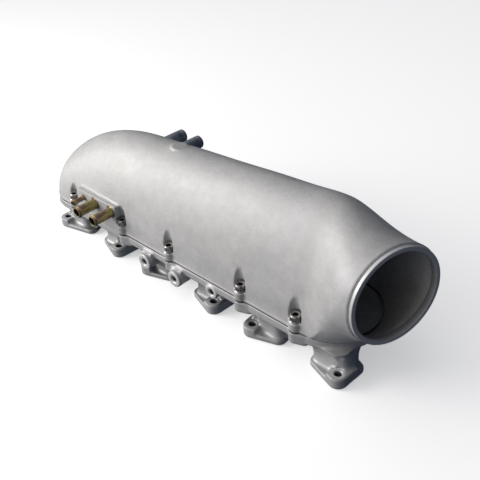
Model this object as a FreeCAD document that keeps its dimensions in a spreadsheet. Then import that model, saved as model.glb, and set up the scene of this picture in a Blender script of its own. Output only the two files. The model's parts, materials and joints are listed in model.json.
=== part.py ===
import FreeCAD, Part
import math
import os

# Log-style intake manifold for an inline six: two cast halves bolted together along a level seam.
# X runs along the row of ports towards the inlet, +Z points away from the engine's port face,
# and the side with the hose nipples faces -Y. The origin is on the flange face, midway along the row.

DRIVING = [
    ("port_pitch", 96.0),
    ("port_count", 6),
    ("port_half_width", 20.0),
    ("port_half_height", 11.5),
    ("runner_wall", 5.0),
    ("bolt_offset_along", 15.0),
    ("bolt_offset_across", 18.5),
    ("bolt_hole_radius", 4.2),
    ("bolt_pad_radius", 11.5),
    ("bolt_pad_height", 14.0),
    ("flange_thickness", 7.0),
    ("flange_corner_radius", 10.0),
    ("seam_height", 50.0),
    ("gasket_thickness", 1.0),
    ("plenum_half_width", 62.0),
    ("plenum_offset", 36.0),
    ("arch_height_dome", 123.0),
    ("arch_height_neck", 144.5),
    ("dome_start", 98.0),
    ("dome_length", 195.5),
    ("end_start", 240.5),
    ("neck_start", 206.5),
    ("wall", 5.0),
    ("rim_height", 11.0),
    ("rim_ledge", 1.2),
    ("floor_thickness", 6.0),
    ("inlet_bore_radius", 51.0),
    ("inlet_outer_radius", 56.0),
    ("inlet_centre_along", 297.5),
    ("inlet_centre_across", 14.0),
    ("inlet_centre_height", 122.5),
    ("inlet_yaw", 18.0),
    ("inlet_pitch", 3.0),
    ("inlet_lip_length", 5.0),
    ("screw_radius", 4.0),
    ("screw_length", 25.0),
    ("screw_head_radius", 6.5),
    ("screw_head_height", 8.0),
    ("screw_socket_radius", 3.46),
    ("screw_socket_depth", 4.0),
    ("screw_inset", 2.0),
    ("lug_radius", 8.0),
    ("lug_height", 12.0),
    ("lower_lug_height", 15.0),
    ("scallop_lean", 14.0),
    ("head_room", 11.0),
    ("washer_radius", 7.2),
    ("washer_thickness", 1.6),
    ("sleeve_radius", 5.5),
    ("sleeve_height", 7.0),
    ("bellmouth_wall", 1.5),
    ("nipple_pad_face", 29.5),
    ("nipple_pad_height", 40.0),
    ("nipple_height", 79.0),
    ("nipple_reach", 31.0),
    ("nipple_radius", 8.6),
    ("nipple_bore_radius", 6.2),
    ("small_nipple_radius", 4.5),
    ("small_nipple_bore_radius", 2.8),
    ("small_nipple_reach", 20.0),
    ("rear_fitting_reach", 40.0),
    ("rear_fitting_drop", 11.0),
    ("rear_pipe_height", 119.0),
    ("rear_pipe_end", 142.0),
    ("rear_boss_face", 92.0),
    ("rear_pipe_radius", 9.5),
    ("rear_pipe_bore_radius", 7.7),
    ("side_boss_radius", 11.5),
    ("side_boss_thread_radius", 4.0),
    ("press_depth", 9.0),
]

# Places along the row, from the domed end towards the inlet.
SCREW_STATIONS = (-214.5, -102.5, -7.5, 117.0, 199.5)
NIPPLE_STATIONS = (-154.0, -119.0)
SMALL_NIPPLE_STATION = -180.0
NIPPLE_PAD = (-194.0, -107.5)
# Side bosses: place along the row, distance of the face in front of the ports, and height.
SIDE_BOSSES = ((-48.5, 37.0, 32.0), (10.0, 37.0, 32.0), (70.0, 29.0, 37.0))
TOP_PAD_STATION = -38.0

doc = FreeCAD.newDocument("intake_manifold")
sheet = doc.addObject("Spreadsheet::Sheet", "sizes")
for row, (alias, value) in enumerate(DRIVING, start=1):
    sheet.set("A%d" % row, alias)
    sheet.set("B%d" % row, str(value))
    sheet.setAlias("B%d" % row, alias)
doc.recompute()


def size(alias):
    return float(sheet.get(alias))


def vector(x, y, z):
    return FreeCAD.Vector(x, y, z)


UP = vector(0, 0, 1)
TOWARDS_FAR = vector(0, 1, 0)
SEAM = size("seam_height")
CENTRE = size("plenum_offset")


def bind(item, **expressions):
    """Tie properties of a document object to the size sheet."""
    for name, text in expressions.items():
        item.setExpression(name.replace("__", "."), text)


def labelled(label, item):
    item.Label = label
    return item


def port_places():
    count = int(size("port_count"))
    pitch = size("port_pitch")
    return [(index - (count - 1) / 2.0) * pitch for index in range(count)]


def hand(index):
    """Flanges alternate: the near bolt is on the -X side of odd ports and the +X side of even ones."""
    return -1.0 if index % 2 == 0 else 1.0


# ---------------------------------------------------------------- plenum skin

def closed_spline(points):
    curve = Part.BSplineCurve()
    steps = [float(k) for k in range(len(points) + 1)]
    curve.interpolate(Points=points, PeriodicFlag=True, Parameters=steps)
    return Part.Wire([curve.toShape()])


def oval(centre, across, up, half_width, rise, drop, count=28):
    """A closed section whose upper and lower halves are half ellipses of different height."""
    points = []
    for k in range(count):
        turn = 2.0 * math.pi * k / count
        tall = rise if math.sin(turn) >= 0 else drop
        offset = across * (half_width * math.cos(turn)) + up * (tall * math.sin(turn))
        points.append(centre + offset)
    return closed_spline(points)


def arch_height(along):
    slope = size("arch_height_neck") - size("arch_height_dome")
    share = (along + size("dome_start")) / (size("neck_start") + size("dome_start"))
    return size("arch_height_dome") + slope * share


def body_section(along, inset):
    """Section of the plenum body: an elliptical arch on the seam, running down to both domed ends."""
    tip = size("dome_start") + size("dome_length") - inset
    width = size("plenum_half_width") - inset
    rise = arch_height(along) - inset
    if -along > size("dome_start"):
        share = (-along - size("dome_start")) / (tip - size("dome_start"))
        rise = rise * math.sqrt(max(1.0 - share ** 2, 0.0))
    if -along > size("end_start"):
        share = (-along - size("end_start")) / (tip - size("end_start"))
        width = width * math.sqrt(max(1.0 - share ** 2, 0.0))
    return oval(vector(along, CENTRE, SEAM), vector(0, -1, 0), UP, width, rise, 0.45 * width)


def inlet_axis():
    yaw = math.radians(size("inlet_yaw"))
    pitch = math.radians(size("inlet_pitch"))
    return vector(math.cos(yaw) * math.cos(pitch), -math.sin(yaw) * math.cos(pitch), math.sin(pitch))


def inlet_centre():
    return vector(size("inlet_centre_along"), size("inlet_centre_across"), size("inlet_centre_height"))


def neck_section(share, inset):
    """Section between the body (share 0) and the round inlet (share 1), turning as it goes."""
    blend = share * share * (3.0 - 2.0 * share)
    yaw = math.radians(size("inlet_yaw")) * blend
    across = vector(-math.sin(yaw), -math.cos(yaw), 0)
    radius = size("inlet_outer_radius") + 1.5
    end = inlet_centre() - inlet_axis() * size("inlet_lip_length")
    along = size("neck_start") + (end.x - size("neck_start")) * share
    side = CENTRE + (end.y - CENTRE) * blend
    middle = SEAM + (end.z - SEAM) * blend
    crown = SEAM + size("arch_height_neck") * (1.0 - blend) + (end.z + radius - SEAM) * blend
    drop_start = 0.45 * size("plenum_half_width")
    early = min(share / 0.72, 1.0)
    drop = drop_start + (radius - drop_start) * early * early * (3.0 - 2.0 * early)
    width = size("plenum_half_width") + (radius - size("plenum_half_width")) * blend
    lean = math.radians(size("inlet_pitch")) * blend
    up = vector(-math.sin(lean) * math.cos(yaw), math.sin(lean) * math.sin(yaw), math.cos(lean))
    centre = vector(along, side, middle)
    return oval(centre, across, up, width - inset, crown - middle - inset, drop - inset)


def plenum_solid(inset):
    """The whole plenum and neck as one solid, drawn in by a wall thickness where one is given."""
    tip = size("dome_start") + size("dome_length") - inset
    end_start = size("end_start")
    sections = []
    for turn in (88.5, 84, 76, 66, 54, 40, 24, 8):
        along = -(end_start + (tip - end_start) * math.sin(math.radians(turn)))
        sections.append(body_section(along, inset))
    for along in (-225.0, -195.0, -160.0, -125.0, -90.0, -40.0, 20.0, 80.0, 140.0, 180.0):
        sections.append(body_section(along, inset))
    neck = [neck_section(share, inset) for share in (0.0, 0.18, 0.36, 0.54, 0.72, 0.88, 1.0)]
    body = Part.makeLoft(sections + [neck[0]], True, False, False, 3)
    return body.fuse(Part.makeLoft(neck, True, False, False, 3))


def outline(growth, bottom, height):
    """A solid with the plan of the seam: straight sides, one round end and one elliptical end."""
    half = size("plenum_half_width") + growth
    left = -size("end_start")
    right = size("neck_start")
    reach = size("dome_start") + size("dome_length") - size("end_start") + growth
    near, far = CENTRE - half, CENTRE + half
    left_end = Part.Ellipse(vector(left, far, 0), vector(left - reach, CENTRE, 0), vector(left, CENTRE, 0))
    left_arc = left_end.toShape(0, math.pi)
    right_arc = Part.Arc(vector(right, near, 0), vector(right + half, CENTRE, 0), vector(right, far, 0))
    edges = [
        left_arc,
        Part.makeLine(vector(left, near, 0), vector(right, near, 0)),
        right_arc.toShape(),
        Part.makeLine(vector(right, far, 0), vector(left, far, 0)),
    ]
    face = Part.Face(Part.Wire(Part.__sortEdges__(edges)))
    face.translate(vector(0, 0, bottom))
    return face.extrude(vector(0, 0, height))


# ---------------------------------------------------------------- screws along the seam

def screw_rows():
    """Every seam screw as (place along the row, place across, side), near row first."""
    reach = size("plenum_half_width") - size("screw_inset")
    near = [(along, CENTRE - reach, -1.0) for along in SCREW_STATIONS]
    far = [(along, CENTRE + reach, 1.0) for along in SCREW_STATIONS]
    return near, far


def sleeve_places():
    near, far = screw_rows()
    return [near[0], far[-1]]


def leaning_cylinder(radius, length, foot, side):
    """A cylinder that leans away from the plenum as it rises. The far ones mirror the near ones."""
    lean = math.radians(size("scallop_lean"))
    near_foot = vector(foot.x, foot.y if side < 0 else 2 * CENTRE - foot.y, foot.z)
    shape = Part.makeCylinder(radius, length, near_foot, vector(0, -math.sin(lean), math.cos(lean)))
    return shape if side < 0 else shape.mirror(vector(0, CENTRE, 0), TOWARDS_FAR)


def scallop(along, across, side):
    """Room for the head, and above it a groove for the wrench that leans out of the wall."""
    seat = SEAM + size("lug_height")
    radius = size("lug_radius") + 0.4
    bore = Part.makeCylinder(radius, size("head_room"), vector(along, across, seat), UP)
    groove = leaning_cylinder(radius - 0.2, 80.0, vector(along, across, seat + 4.0), side)
    return bore, groove


def upper_lug(along, across):
    height = size("lug_height") + 2.0
    return Part.makeCylinder(size("lug_radius"), height, vector(along, across, SEAM), UP)


def lower_lug(along, across):
    """Boss for a screw thread, widening along the rim and into a gusset under the floor."""
    top = SEAM - size("gasket_thickness")
    height = size("lower_lug_height")
    inward = 1.0 if across < CENTRE else -1.0
    reach = across + inward * 22.0
    beside = (along + 11.0, across + inward * 2.5, size("lug_radius") - 1.5)
    gusset = [(along + 13.0, reach, 5.0), (along - 3.0, reach, 5.0)]
    circles = [(along, across, size("lug_radius")), beside] + gusset
    return hull_of_circles(circles if inward > 0 else list(reversed(circles)), top - height, height)


def build_upper_shell():
    near, far = screw_rows()
    screws = near + far
    body = plenum_solid(0.0)
    for along, across, side in screws:
        body = body.fuse(upper_lug(along, across))
    for along, across, side in screws:
        for groove in scallop(along, across, side):
            body = body.cut(groove)
    crown = SEAM + arch_height(TOP_PAD_STATION)
    added = [rear_boss(along) for along in NIPPLE_STATIONS + (SMALL_NIPPLE_STATION,)]
    added.append(nipple_pad())
    added.append(Part.makeCylinder(11.0, 6.0, vector(TOP_PAD_STATION, CENTRE, crown - 5.2), UP))
    added.append(inlet_lip())
    added.append(outline(size("rim_ledge"), SEAM, 3.0))
    for piece in added:
        body = body.fuse(piece)
    columns = screw_columns(screws)
    removed = [Part.makeBox(900, 400, 200, vector(-450, -150, SEAM - 200))]
    removed.append(plenum_solid(size("wall")).cut(columns))
    removed.append(outline(0.6 - size("wall"), SEAM - 5, 8.0).cut(columns))
    removed.append(inlet_bore())
    clear = size("screw_radius") + 0.4
    through = size("lug_height") + 8.0
    removed += [Part.makeCylinder(clear, through, vector(x, y, SEAM - 5), UP) for x, y, side in screws]
    depth = (size("sleeve_height") - size("gasket_thickness")) / 2 + 0.3
    for along, across, side in sleeve_places():
        removed.append(Part.makeCylinder(size("sleeve_radius"), depth, vector(along, across, SEAM), UP))
    removed += fitting_holes()
    for piece in removed:
        body = body.cut(piece)
    return body


def screw_columns(places):
    """The thick places inside the wall that leave room for the screws and their grooves."""
    columns = None
    seat = SEAM + size("lug_height")
    radius = size("lug_radius") + 4.0
    for along, across, side in places:
        upright = Part.makeCylinder(radius, 36.0, vector(along, across, SEAM - 8), UP)
        leaning = leaning_cylinder(radius + 1.0, 48.0, vector(along, across, seat + 4.0), side)
        column = upright.fuse(leaning)
        columns = column if columns is None else columns.fuse(column)
    return columns


def nipple_pad():
    start, stop = NIPPLE_PAD
    face = -size("nipple_pad_face")
    height = size("nipple_pad_height")
    inner_edge = CENTRE - size("plenum_half_width") + 14.0
    pad = Part.makeBox(stop - start, inner_edge - face, height, vector(start, face, SEAM))
    upright = [edge for edge in pad.Edges if abs(edge.tangentAt(edge.FirstParameter).z) > 0.9]
    outside = [edge for edge in upright if abs(edge.CenterOfMass.y - face) < 0.1]
    return pad.makeFillet(2.5, outside)


def rear_boss(along):
    """A round boss on the far wall, with a flat face square to the pipe it holds."""
    large = along in NIPPLE_STATIONS
    radius = size("rear_pipe_radius") + 4.5 if large else size("small_nipple_radius") + 4.5
    height = size("rear_pipe_height") if large else size("rear_pipe_height") - size("rear_fitting_drop")
    start = CENTRE + 8.0
    reach = size("rear_boss_face") - start
    return Part.makeCylinder(radius, reach, vector(along, start, height), TOWARDS_FAR)


def fitting_holes():
    """Holes that the nipples and pipes are pressed into, stepped down to a clear way into the plenum."""
    holes = []
    face = -size("nipple_pad_face")
    seat = size("press_depth")
    for along in NIPPLE_STATIONS:
        mouth = vector(along, face, size("nipple_height"))
        holes.append(Part.makeCylinder(size("nipple_radius") - 0.7, seat, mouth, TOWARDS_FAR))
        holes.append(Part.makeCylinder(size("nipple_bore_radius"), 40, mouth, TOWARDS_FAR))
        rear = vector(along, size("rear_boss_face"), size("rear_pipe_height"))
        holes.append(Part.makeCylinder(size("rear_pipe_radius") - 0.5, seat, rear, -TOWARDS_FAR))
        holes.append(Part.makeCylinder(size("rear_pipe_bore_radius"), 50, rear, -TOWARDS_FAR))
    mouth = vector(SMALL_NIPPLE_STATION, face, size("nipple_height"))
    level = size("rear_pipe_height") - size("rear_fitting_drop")
    rear = vector(SMALL_NIPPLE_STATION, size("rear_boss_face"), level)
    for spot, way in ((mouth, TOWARDS_FAR), (rear, -TOWARDS_FAR)):
        holes.append(Part.makeCylinder(size("small_nipple_radius") - 0.7, seat, spot, way))
        holes.append(Part.makeCylinder(size("small_nipple_bore_radius"), 50, spot, way))
    return holes


def inlet_lip():
    """The turned lip at the mouth, a little smaller than the cast neck behind it."""
    length = size("inlet_lip_length") + 2.0
    return Part.makeCylinder(size("inlet_outer_radius"), length, inlet_centre(), inlet_axis() * -1)


def inlet_bore():
    start = inlet_centre() + inlet_axis() * 2
    length = size("inlet_lip_length") + 8.0
    return Part.makeCylinder(size("inlet_bore_radius"), length, start, inlet_axis() * -1)


# ---------------------------------------------------------------- lower casting

def hull_of_circles(circles, bottom, height):
    """Outline drawn tight around circles (x, y, radius) that are listed anticlockwise."""
    edges = []
    count = len(circles)
    tangents = []
    for k in range(count):
        ax, ay, ar = circles[k]
        bx, by, br = circles[(k + 1) % count]
        gap = math.hypot(bx - ax, by - ay)
        heading = math.atan2(by - ay, bx - ax)
        normal = heading - math.acos((ar - br) / gap)
        leave = vector(ax + ar * math.cos(normal), ay + ar * math.sin(normal), bottom)
        arrive = vector(bx + br * math.cos(normal), by + br * math.sin(normal), bottom)
        edges.append(Part.makeLine(leave, arrive))
        tangents.append((leave, arrive, normal))
    for k in range(count):
        x, y, radius = circles[k]
        start = tangents[k - 1][2]
        stop = tangents[k][2]
        while stop < start:
            stop += 2 * math.pi
        middle = (start + stop) / 2
        crest = vector(x + radius * math.cos(middle), y + radius * math.sin(middle), bottom)
        edges.append(Part.Arc(tangents[k - 1][1], crest, tangents[k][0]).toShape())
    face = Part.Face(Part.Wire(Part.__sortEdges__(edges)))
    return face.extrude(vector(0, 0, height))


def flange_circles(along, way, stretch=0.0):
    """Two bolt lobes and two corners of a flange, anticlockwise."""
    bx, by = size("bolt_offset_along"), size("bolt_offset_across")
    lobe = size("bolt_pad_radius")
    corner = size("flange_corner_radius")
    ring = [
        (way * bx, -by, lobe),
        (way * 18.0, 9.0, corner),
        (-way * bx, by, lobe),
        (-way * (18.0 + stretch), -9.0, corner),
    ]
    return ring if way > 0 else list(reversed(ring))


def runner_head(index, along):
    """Where a port opens into the plenum floor. The last one leans in, clear of the round end."""
    last = index == int(size("port_count")) - 1
    return (along - 14.0, 12.0) if last else (along, 8.0)


def rounded_rectangle(centre, half_x, half_y, radius, height):
    corners = [(-1, -1), (1, -1), (1, 1), (-1, 1)]
    inner_x, inner_y = half_x - radius, half_y - radius
    circles = [(centre[0] + sx * inner_x, centre[1] + sy * inner_y, radius) for sx, sy in corners]
    solid = hull_of_circles(circles, height, 1.0)
    low = [face for face in solid.Faces if abs(face.CenterOfMass.z - height) < 1e-6]
    return low[0].OuterWire


def flange(index, along):
    way = hand(index)
    stretch = 12.0 if index == 0 else 0.0
    circles = [(along + x, y, radius) for x, y, radius in flange_circles(along, way, stretch)]
    plate = hull_of_circles(circles, 0.0, size("flange_thickness"))
    full = hull_of_circles(circles, 0.0, size("bolt_pad_height"))
    for turn in (1.0, -1.0):
        side = way * turn
        edge = along + (4.0 if side > 0 else -40.0)
        reach = -45.0 if turn > 0 else -4.0
        pad = Part.makeBox(36.0, 49.0, size("bolt_pad_height"), vector(edge, reach, 0))
        plate = plate.fuse(full.common(pad))
    return plate


def between(start, stop, share):
    return tuple(a + (b - a) * share for a, b in zip(start, stop))


def runner(index, along):
    wall = size("runner_wall")
    half_x, half_y = size("port_half_width") + wall, size("port_half_height") + wall
    foot, head = (along, 0.0), runner_head(index, along)
    sections = [
        rounded_rectangle(foot, half_x + 1, half_y + 1, 12.0, 4.0),
        rounded_rectangle(between(foot, head, 0.4), half_x, half_y + 1, 12.0, 18.0),
        rounded_rectangle(between(foot, head, 0.6), half_x + 6, half_y + 14.5, 14.0, 41.0),
    ]
    return Part.makeLoft(sections, True, False)


def port(index, along):
    """The air way through a flange and runner, up to the plenum floor."""
    half_x, half_y = size("port_half_width"), size("port_half_height")
    low = rounded_rectangle((along, 0.0), half_x, half_y, 9.0, -1.0)
    top = rounded_rectangle(runner_head(index, along), half_x, half_y, 9.0, SEAM - 6.0)
    return Part.makeLoft([low, top], True, True)


def side_boss(along, front, height):
    """A round boss for a bracket, tied to the rim above and the floor behind by a web."""
    radius = size("side_boss_radius") if front > 30 else size("side_boss_radius") - 2.0
    barrel = Part.makeCylinder(radius, front - 8.0, vector(along, -front, height), TOWARDS_FAR)
    web_top = SEAM - size("gasket_thickness") - 4.0
    corner = vector(along - radius * 0.85, -front + 6, height)
    web = Part.makeBox(radius * 1.7, front - 14.0, web_top - height, corner)
    return barrel.fuse(web)


def build_lower_shell():
    top = SEAM - size("gasket_thickness")
    rim = size("rim_height")
    floor_top = top - rim + size("floor_thickness")
    near, far = screw_rows()
    body = outline(size("rim_ledge"), top - rim, rim)
    pan = outline(-size("wall"), floor_top, rim)
    for along, across, side in near + far:
        lug_room = Part.makeCylinder(size("lug_radius") + 4.0, rim, vector(along, across, floor_top), UP)
        pan = pan.cut(lug_room)
        body = body.fuse(lower_lug(along, across))
    for index, along in enumerate(port_places()):
        body = body.fuse(runner(index, along))
        body = body.fuse(flange(index, along))
    for along, front, height in SIDE_BOSSES:
        body = body.fuse(side_boss(along, front, height))
    body = body.cut(pan)
    for index, along in enumerate(port_places()):
        body = body.cut(port(index, along))
        body = body.cut(bellmouth_seat(runner_head(index, along)))
        way = hand(index)
        for turn in (1.0, -1.0):
            spot_x = along + turn * way * size("bolt_offset_along")
            spot_y = -turn * size("bolt_offset_across")
            drill = Part.makeCylinder(size("bolt_hole_radius"), 30.0, vector(spot_x, spot_y, -5), UP)
            reach = size("bolt_pad_height")
            spot_face = Part.makeCylinder(8.0, 18.0, vector(spot_x, spot_y, reach), UP)
            body = body.cut(drill).cut(spot_face)
    for along, across, side in near + far:
        depth = size("lower_lug_height") + 2
        start = vector(along, across, top - depth)
        body = body.cut(Part.makeCylinder(size("screw_radius"), depth + 1, start, UP))
    for along, across, side in sleeve_places():
        depth = (size("sleeve_height") - size("gasket_thickness")) / 2 + 0.3
        start = vector(along, across, top - depth)
        body = body.cut(Part.makeCylinder(size("sleeve_radius"), depth, start, UP))
    for along, front, height in SIDE_BOSSES:
        start = vector(along, -front - 1, height)
        radius = size("side_boss_thread_radius")
        thread = Part.makeCylinder(radius, 17.0, start, TOWARDS_FAR)
        mouth = Part.makeCone(radius + 2.0, radius, 2.0, start, TOWARDS_FAR)
        body = body.cut(thread).cut(mouth)
    return body


def bellmouth_seat(centre):
    """Recess in the plenum floor that a bellmouth insert sits in."""
    top = SEAM - size("gasket_thickness") - size("rim_height") + size("floor_thickness")
    depth = size("floor_thickness") - 1.0
    half_x, half_y = size("port_half_width") + 2.0, size("port_half_height") + 2.0
    recess = rounded_rectangle(centre, half_x, half_y, 11.0, top - depth)
    return Part.Face(recess).extrude(vector(0, 0, depth + 20.0))


def build_bellmouth(centre):
    """Insert with a rounded lip that leads the air from the plenum floor into a port."""
    wall = size("bellmouth_wall")
    top = SEAM - size("gasket_thickness") - size("rim_height") + size("floor_thickness")
    bottom = top - size("floor_thickness") + 1.0
    seat = size("floor_thickness") - 1.0
    half_x, half_y = size("port_half_width"), size("port_half_height")
    stages = ((0.0, 0.0), (seat + 0.2, 0.0), (seat + 2.0, 0.9), (seat + 3.2, 2.2), (seat + 4.0, 4.0))
    inner = [rounded_rectangle(centre, half_x + flare, half_y + flare, 9.0 + flare, bottom + level)
             for level, flare in stages]
    collar = rounded_rectangle(centre, half_x + 2.0, half_y + 2.0, 11.0, bottom)
    body = Part.Face(collar).extrude(vector(0, 0, seat + 0.5))
    lip = rounded_rectangle(centre, half_x + 4.0 + wall, half_y + 4.0 + wall, 13.0 + wall, top + 0.3)
    body = body.fuse(Part.Face(lip).extrude(vector(0, 0, 3.7)))
    return body.cut(Part.makeLoft(inner, True, True)).removeSplitter()


def build_gasket():
    top = SEAM - size("gasket_thickness")
    thickness = size("gasket_thickness")
    sheet_out = outline(size("rim_ledge") - 0.8, top, thickness)
    near, far = screw_rows()
    window = outline(-size("wall"), top - 1, thickness + 2)
    for along, across, side in near + far:
        lug = Part.makeCylinder(size("lug_radius") - 0.4, thickness, vector(along, across, top), UP)
        foot = vector(along, across, top - 1)
        inner_lug = Part.makeCylinder(size("lug_radius") + 3.5, thickness + 2, foot, UP)
        window = window.cut(inner_lug)
        sheet_out = sheet_out.fuse(lug)
    body = sheet_out.cut(window)
    for along, across, side in near + far:
        hole = Part.makeCylinder(size("screw_radius") + 0.6, 4, vector(along, across, top - 2), UP)
        body = body.cut(hole)
    for along, across, side in sleeve_places():
        hole = Part.makeCylinder(size("sleeve_radius") + 0.3, 4, vector(along, across, top - 2), UP)
        body = body.cut(hole)
    return body


# ---------------------------------------------------------------- turned parts, from primitives

def cylinder(name, radius, height, spot, way=UP):
    """A cylinder whose radius and height are expressions on the size sheet."""
    item = doc.addObject("Part::Cylinder", name)
    bind(item, Radius=radius, Height=height)
    item.Placement = FreeCAD.Placement(spot, FreeCAD.Rotation(UP, way))
    return item


def bored(name, outside, holes):
    """Cut the holes, one after another, out of a solid."""
    result = outside
    for number, hole in enumerate(holes, start=1):
        cut = doc.addObject("Part::Cut", "%s_cut_%d" % (name, number))
        cut.Base = result
        cut.Tool = hole
        result = cut
    return result


def joined(name, pieces):
    item = doc.addObject("Part::MultiFuse", name)
    item.Shapes = pieces
    return item


def cap_screw(name, spot):
    """Socket-head cap screw whose head sits on the washer at the given spot."""
    shank = cylinder(name + "_shank", "sizes.screw_radius", "sizes.screw_length + 1", spot)
    bind(shank, Placement__Base__z="%f - sizes.screw_length" % spot.z)
    head = cylinder(name + "_head", "sizes.screw_head_radius", "sizes.screw_head_height", spot)
    socket = doc.addObject("Part::Prism", name + "_socket")
    socket.Polygon = 6
    bind(socket, Circumradius="sizes.screw_socket_radius", Height="sizes.screw_socket_depth + 1")
    socket.Placement.Base = spot
    bind(socket, Placement__Base__z="%f + sizes.screw_head_height - sizes.screw_socket_depth" % spot.z)
    return bored(name, joined(name + "_blank", [shank, head]), [socket])


def washer(name, spot):
    plate = cylinder(name + "_plate", "sizes.washer_radius", "sizes.washer_thickness", spot)
    hole = cylinder(name + "_hole", "sizes.screw_radius + 0.3", "sizes.washer_thickness", spot)
    return bored(name, plate, [hole])


def sleeve(name, spot):
    tube = cylinder(name + "_tube", "sizes.sleeve_radius", "sizes.sleeve_height", spot)
    hole = cylinder(name + "_hole", "sizes.screw_radius + 0.3", "sizes.sleeve_height", spot)
    return bored(name, tube, [hole])


def group(label, members):
    item = doc.addObject("Part::Compound", label)
    item.Links = members
    return labelled(label, item)


def hose_fitting(label, mouth_spot, way, radius, bore, reach):
    """Straight hose nipple pressed into its boss, with a bead near the open end."""
    root = mouth_spot - way * size("press_depth")
    total = "sizes.press_depth + %s" % reach
    stem = cylinder(label + "_stem", "%s - 0.7" % radius, total, root, way)
    bead_spot = mouth_spot + way * (size_of(reach) - 7.0)
    bead = cylinder(label + "_bead", radius, "5", bead_spot, way)
    collar = cylinder(label + "_collar", "%s + 0.6" % radius, "2", mouth_spot, way)
    hole = cylinder(label + "_bore", bore, "%s + 2" % total, root - way, way)
    return labelled(label, bored(label, joined(label + "_blank", [stem, bead, collar]), [hole]))


def size_of(expression):
    return size(expression.replace("sizes.", ""))


def plain_pipe(label, mouth_spot, way, radius, bore, reach):
    """Pipe with a slimmer spigot that is pressed into its boss."""
    root = mouth_spot - way * size("press_depth")
    spigot = cylinder(label + "_spigot", "%s - 0.5" % radius, "sizes.press_depth + 1", root, way)
    tube = cylinder(label + "_tube", radius, reach, mouth_spot, way)
    hole = cylinder(label + "_bore", bore, "sizes.press_depth + %s + 2" % reach, root - way, way)
    return labelled(label, bored(label, joined(label + "_blank", [spigot, tube]), [hole]))


def fixed_shape(label, shape):
    item = doc.addObject("Part::Feature", label)
    item.Shape = shape
    item.Placement = FreeCAD.Placement()
    return labelled(label, item)


nodes = []
nodes.append(fixed_shape("upper_shell", build_upper_shell()))
nodes.append(fixed_shape("lower_shell", build_lower_shell()))
nodes.append(fixed_shape("plenum_gasket", build_gasket()))
for index, along in enumerate(port_places()):
    nodes.append(fixed_shape("bellmouth_%d" % (index + 1), build_bellmouth(runner_head(index, along))))

seat_level = SEAM + size("lug_height")
for row_name, row in zip(("near", "far"), screw_rows()):
    screws = []
    washers = []
    for number, (along, across, side) in enumerate(row, start=1):
        tag = "%s_%d" % (row_name, number)
        washers.append(washer("washer_" + tag, vector(along, across, seat_level)))
        head_spot = vector(along, across, seat_level + size("washer_thickness"))
        screws.append(cap_screw("screw_" + tag, head_spot))
    nodes.append(group("cap_screws_" + row_name, screws))
    nodes.append(group("washers_" + row_name, washers))

sleeves = []
for number, (along, across, side) in enumerate(sleeve_places(), start=1):
    level = SEAM - size("gasket_thickness") / 2 - size("sleeve_height") / 2
    sleeves.append(sleeve("sleeve_%d" % number, vector(along, across, level)))
nodes.append(group("dowel_sleeves", sleeves))

pad_face = -size("nipple_pad_face")
for number, along in enumerate(NIPPLE_STATIONS, start=1):
    spot = vector(along, pad_face, size("nipple_height"))
    nodes.append(hose_fitting("nipple_large_%d" % number, spot, -TOWARDS_FAR, "sizes.nipple_radius",
                              "sizes.nipple_bore_radius", "sizes.nipple_reach"))
    spot = vector(along, size("rear_boss_face"), size("rear_pipe_height"))
    reach = "sizes.rear_pipe_end - sizes.rear_boss_face"
    nodes.append(plain_pipe("rear_pipe_%d" % number, spot, TOWARDS_FAR, "sizes.rear_pipe_radius",
                            "sizes.rear_pipe_bore_radius", reach))
spot = vector(SMALL_NIPPLE_STATION, pad_face, size("nipple_height"))
nodes.append(hose_fitting("nipple_small", spot, -TOWARDS_FAR, "sizes.small_nipple_radius",
                          "sizes.small_nipple_bore_radius", "sizes.small_nipple_reach"))
fitting_level = size("rear_pipe_height") - size("rear_fitting_drop")
spot = vector(SMALL_NIPPLE_STATION, size("rear_boss_face"), fitting_level)
nodes.append(hose_fitting("rear_fitting", spot, TOWARDS_FAR, "sizes.small_nipple_radius",
                          "sizes.small_nipple_bore_radius", "sizes.rear_fitting_reach"))

doc.recompute()
for item in doc.Objects:
    if "Invalid" in item.State or "Error" in item.State:
        raise RuntimeError("%s did not build: %s" % (item.Name, item.State))
for node in nodes:
    if node.Shape.isNull() or not node.Shape.isValid():
        raise RuntimeError("%s has no valid shape" % node.Label)

os.makedirs("parts", exist_ok=True)
for node in nodes:
    node.Shape.exportStep("parts/%s.step" % node.Label)
    print(node.Label, len(node.Shape.Solids), round(node.Shape.Volume))
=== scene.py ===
import json
import math

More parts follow.
